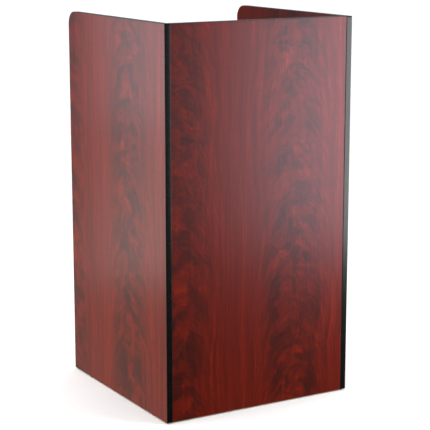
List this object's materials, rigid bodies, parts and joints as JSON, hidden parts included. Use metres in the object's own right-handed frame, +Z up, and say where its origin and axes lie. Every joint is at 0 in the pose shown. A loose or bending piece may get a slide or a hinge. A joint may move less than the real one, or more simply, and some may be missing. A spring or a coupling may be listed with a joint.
{
  "type": "wooden pulpit",
  "caption": "Box-shaped floor pulpit of mahogany laminate boards edged in black moulding, open at the back, with a sloping reading desk, book stop and storage shelves.",
  "frame": {"origin": "on the floor, under the middle of the case's width and depth", "axes": "+Z up; -Y is the front that faces the audience; +Y is the open back where the speaker stands; +X is to the right seen from the front"},
  "size_m": [0.637, 0.632, 1.168],
  "materials": {
    "mahogany_laminate": "satin mahogany laminate on particleboard, vertical flame grain",
    "black_edging": "satin black vinyl T-moulding",
    "zinc_cam": "zinc plated die casting",
    "steel_hardware": "zinc plated steel",
    "beech_dowel": "plain beech",
    "nylon_glide": "grey-brown nylon"
  },
  "bodies": {
    "case": {"side_panel_left": "mahogany_laminate", "side_panel_right": "mahogany_laminate", "front_panel": "mahogany_laminate", "reading_desk": "mahogany_laminate", "book_stop": "mahogany_laminate", "bottom_shelf": "mahogany_laminate", "kick_rail": "mahogany_laminate", "side_edging_left": "black_edging", "side_edging_right": "black_edging", "front_panel_edging": "black_edging", "book_stop_edging": "black_edging", "bottom_shelf_edging": "black_edging", "front_lower_cam_left": "zinc_cam", "front_lower_cam_right": "zinc_cam", "front_upper_cam_left": "zinc_cam", "front_upper_cam_right": "zinc_cam", "bottom_shelf_front_cam_left": "zinc_cam", "bottom_shelf_front_cam_right": "zinc_cam", "bottom_shelf_rear_cam_left": "zinc_cam", "bottom_shelf_rear_cam_right": "zinc_cam", "desk_front_cam_left": "zinc_cam", "desk_front_cam_right": "zinc_cam", "desk_rear_cam_left": "zinc_cam", "desk_rear_cam_right": "zinc_cam", "front_lower_cam_bolt_left": "steel_hardware", "front_lower_cam_bolt_right": "steel_hardware", "front_upper_cam_bolt_left": "steel_hardware", "front_upper_cam_bolt_right": "steel_hardware", "bottom_shelf_front_cam_bolt_left": "steel_hardware", "bottom_shelf_front_cam_bolt_right": "steel_hardware", "bottom_shelf_rear_cam_bolt_left": "steel_hardware", "bottom_shelf_rear_cam_bolt_right": "steel_hardware", "desk_front_cam_bolt_left": "steel_hardware", "desk_front_cam_bolt_right": "steel_hardware", "desk_rear_cam_bolt_left": "steel_hardware", "desk_rear_cam_bolt_right": "steel_hardware", "front_dowel_left": "beech_dowel", "front_dowel_right": "beech_dowel", "kick_rail_lower_dowel_left": "beech_dowel", "kick_rail_lower_dowel_right": "beech_dowel", "kick_rail_upper_dowel_left": "beech_dowel", "kick_rail_upper_dowel_right": "beech_dowel", "book_stop_dowel_left": "beech_dowel", "book_stop_dowel_middle": "beech_dowel", "book_stop_dowel_right": "beech_dowel", "shelf_pin_front_left": "zinc_cam", "shelf_pin_front_right": "zinc_cam", "shelf_pin_rear_left": "zinc_cam", "shelf_pin_rear_right": "zinc_cam", "glide_front_left": "nylon_glide", "glide_front_right": "nylon_glide", "glide_rear_left": "nylon_glide", "glide_rear_right": "nylon_glide", "glide_nail_front_left": "steel_hardware", "glide_nail_front_right": "steel_hardware", "glide_nail_rear_left": "steel_hardware", "glide_nail_rear_right": "steel_hardware"},
    "storage_shelf": {"storage_shelf": "mahogany_laminate", "storage_shelf_edging": "black_edging"}
  },
  "joints": [
    {"name": "storage_shelf_lift", "type": "slide", "parent": "case", "child": "storage_shelf", "axis": [0, 0, 1], "range_m": [0, 0.37]}
  ]
}
